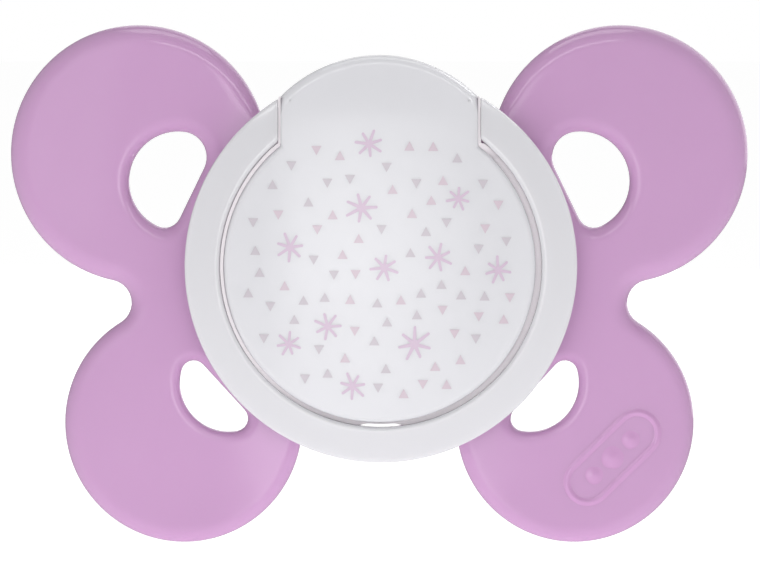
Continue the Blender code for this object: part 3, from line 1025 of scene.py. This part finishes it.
def area_light(name, place, width, height, radiance, target=(0, 0, 0)):
    """A soft box of an even radiance, in metres, seen in reflections and not by the camera."""
    data = bpy.data.lights.new(name, "AREA")
    data.shape = "RECTANGLE"
    data.size, data.size_y = width, height
    data.energy = radiance * math.pi * width * height
    made = bpy.data.objects.new(name, data)
    made.location = place
    made.rotation_mode = "QUATERNION"
    made.rotation_quaternion = (Vector(target) - Vector(place)).to_track_quat("-Z", "Y")
    made.visible_camera = False
    bpy.context.scene.collection.objects.link(made)
    return made


def combine(nodes, links, operation, one, two):
    """The result of a sum on two values."""
    made = nodes.new("ShaderNodeMath")
    made.operation = operation
    links.new(one, made.inputs[0])
    links.new(two, made.inputs[1])
    return made.outputs["Value"]


def fade_light(light, across, upward):
    """Gives a soft box uneven brightness: (place, share) stops across it and up it."""
    light.data.use_nodes = True
    nodes, links = light.data.node_tree.nodes, light.data.node_tree.links
    split = nodes.new("ShaderNodeSeparateXYZ")
    links.new(nodes.new("ShaderNodeNewGeometry").outputs["Parametric"], split.inputs["Vector"])
    shares = []
    for axis, stops in (("X", across), ("Y", upward)):
        ramp = nodes.new("ShaderNodeValToRGB")
        elements = ramp.color_ramp.elements
        while len(elements) < len(stops):
            elements.new(0.5)
        for element, (place, share) in zip(elements, stops):
            element.position = place
            element.color = (share, share, share, 1)
        links.new(split.outputs[axis], ramp.inputs["Fac"])
        shares.append(ramp.outputs["Color"])
    product = combine(nodes, links, "MULTIPLY", *shares)
    links.new(product, nodes["Emission"].inputs["Strength"])


def profile_ends(profile):
    """The tangents of a brightness profile's first and last angles."""
    return [math.tan(math.radians(profile[i][0])) for i in (0, -1)]


def profile_stops(profile):
    """Ramp stops for a brightness profile, as it lies on a flat soft box."""
    low, high = profile_ends(profile)
    return [((math.tan(math.radians(angle)) - low) / (high - low), share) for angle, share in profile]


def make_lights(edged):
    """A tall soft box in front, a strip and a box above, a light for white edges, and two fills."""
    left, right = profile_ends(SOFTBOX_ACROSS)
    down, up = profile_ends(SOFTBOX_UPWARD)
    place = Vector(((left + right) / 2, -1, (down + up) / 2)) * SOFTBOX_DISTANCE
    width, height = (right - left) * SOFTBOX_DISTANCE, (up - down) * SOFTBOX_DISTANCE
    ahead = place + Vector((0, 1, 0))
    front = area_light("front_softbox", place, width, height, 3.15, ahead)
    fade_light(front, profile_stops(SOFTBOX_ACROSS), profile_stops(SOFTBOX_UPWARD))
    area_light("high_strip", (0.05, -0.71, 0.55), 1.1, 0.10, 3.9)
    area_light("overhead_softbox", (0.0, 0.1, 0.9), 0.8, 0.4, 2.0)
    rim = area_light("right_rim_light", (0.5, 0.25, 0.7), 0.3, 0.3, 5.5)
    lit_edges = bpy.data.collections.new("lit_edges")
    for piece in edged:
        lit_edges.objects.link(piece)
    rim.light_linking.receiver_collection = lit_edges
    area_light("left_fill", (-0.8, -0.5, 0.3), 0.5, 0.6, 0.5)
    area_light("rear_fill", (0.35, 0.9, 0.5), 1.2, 1.2, 0.9)


def blend(nodes, links, source, start, end, low, high):
    """Goes smoothly from low to high while the source goes from start to end."""
    made = nodes.new("ShaderNodeMapRange")
    made.interpolation_type = "SMOOTHSTEP"
    for name, value in zip(("From Min", "From Max", "To Min", "To Max"), (start, end, low, high)):
        made.inputs[name].default_value = value
    links.new(source, made.inputs["Value"])
    return made.outputs["Result"]


def make_world(front=0.21, back=0.34, below=0.12):
    """White behind the object and through clear pieces, and a dimmer surround as light."""
    world = bpy.data.worlds.new("studio")
    bpy.context.scene.world = world
    world.use_nodes = True
    nodes, links = world.node_tree.nodes, world.node_tree.links
    seen = nodes["Background"]
    seen.inputs["Color"].default_value = (1, 1, 1, 1)
    light = nodes.new("ShaderNodeBackground")
    split = nodes.new("ShaderNodeSeparateXYZ")
    links.new(nodes.new("ShaderNodeTexCoord").outputs["Generated"], split.inputs["Vector"])
    depth = blend(nodes, links, split.outputs["Y"], -0.4, 0.5, front, back)
    lift = blend(nodes, links, split.outputs["Z"], 0.1, -0.4, 0.0, below)
    links.new(combine(nodes, links, "ADD", depth, lift), light.inputs["Strength"])
    rays = nodes.new("ShaderNodeLightPath").outputs
    seen_rays = combine(
        nodes, links, "MAXIMUM", rays["Is Camera Ray"], rays["Is Transmission Ray"]
    )
    mix = nodes.new("ShaderNodeMixShader")
    links.new(seen_rays, mix.inputs["Fac"])
    links.new(light.outputs["Background"], mix.inputs[1])
    links.new(seen.outputs["Background"], mix.inputs[2])
    links.new(mix.outputs["Shader"], nodes["World Output"].inputs["Surface"])


def make_floor():
    """A large pale floor under the lowest lobes, bright as a lit studio sweep."""
    mesh = bpy.data.meshes.new("floor")
    half = FLOOR_SIZE / 2
    z = CAD_BOUNDS[0].z - FLOOR_GAP
    corners = [(-half, -half, z), (half, -half, z), (half, half, z), (-half, half, z)]
    mesh.from_pydata(corners, [], [(0, 1, 2, 3)])
    floor = bpy.data.objects.new("floor", mesh)
    floor.visible_glossy = False
    floor.visible_shadow = False
    bpy.context.scene.collection.objects.link(floor)
    paint = bpy.data.materials.new("floor_paint")
    paint.use_nodes = True
    shader = paint.node_tree.nodes["Principled BSDF"]
    shader.inputs["Base Color"].default_value = (0.4, 0.4, 0.4, 1)
    shader.inputs["Roughness"].default_value = 0.9
    shader.inputs["Specular IOR Level"].default_value = 0.0
    shader.inputs["Emission Color"].default_value = (1, 1, 1, 1)
    shader.inputs["Emission Strength"].default_value = 0.9
    mesh.materials.append(paint)


def make_camera():
    data = bpy.data.cameras.new("camera")
    data.sensor_width = SENSOR
    data.lens = SENSOR * CAMERA_DISTANCE / VIEW_WIDTH
    data.clip_start, data.clip_end = 0.01, 20.0
    camera = bpy.data.objects.new("camera", data)
    back = Vector((0, -math.cos(VIEW_ELEVATION), math.sin(VIEW_ELEVATION)))
    camera.location = (VIEW_CENTRE + back * CAMERA_DISTANCE) * MM
    camera.rotation_euler = (math.pi / 2 - VIEW_ELEVATION, 0, 0)
    bpy.context.scene.collection.objects.link(camera)
    bpy.context.scene.camera = camera


def set_colour():
    view = bpy.context.scene.view_settings
    view.view_transform = "Standard"
    view.look = "None"
    view.exposure = 0.0
    view.gamma = 1.0


def main():
    lilac = lilac_plastic("lilac_plastic", LILAC, subsurface=0.3)
    milky = milky_plastic("milky_plastic", MILKY)
    ring_milky = milky_plastic("ring_plastic", RING_MILKY)
    white = white_plastic()
    make_shield(lilac)
    cover = make_cover(milky)
    make_base(white)
    make_plug(white)
    make_teat(silicone())
    ring = make_ring(ring_milky)
    make_print()
    # the raised frame gets a pinker, brighter copy of the shield's lilac, a painted highlight for the
    # light caught by its ridges
    make_relief(lilac_plastic("relief_plastic_painted_highlight", RELIEF_HIGHLIGHT_LILAC, subsurface=0.0))
    make_lights((cover, ring))
    make_world()
    make_floor()
    make_camera()
    set_colour()


main()
